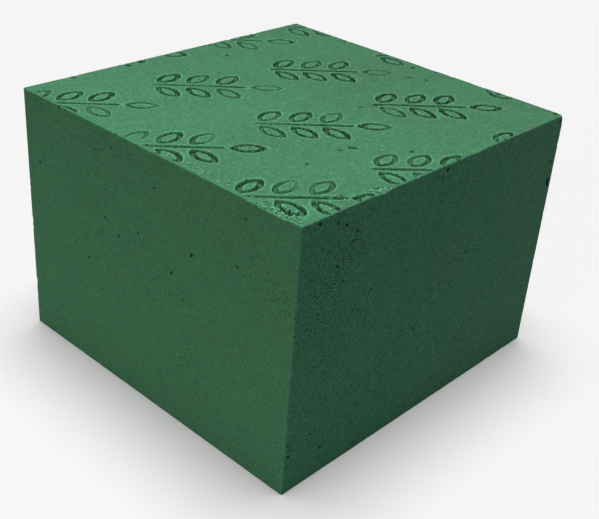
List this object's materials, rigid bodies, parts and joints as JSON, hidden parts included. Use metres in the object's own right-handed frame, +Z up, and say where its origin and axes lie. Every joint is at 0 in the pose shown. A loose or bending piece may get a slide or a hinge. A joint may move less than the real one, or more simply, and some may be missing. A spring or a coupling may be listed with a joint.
{
  "type": "floral foam brick",
  "caption": "Green brick of rigid open-cell floral foam, cut square, with a shallow leafy sprig pattern pressed slantwise into its top face.",
  "frame": {"origin": "middle of the base, on the surface that the brick stands on", "axes": "+X along the piece's length, which runs from one end face to the other; +Y across its width; +Z up, out of the stamped top"},
  "size_m": [0.114, 0.111, 0.08],
  "materials": {
    "foam": "matte"
  },
  "bodies": {
    "root": {"foam_brick": "foam"}
  },
  "joints": []
}
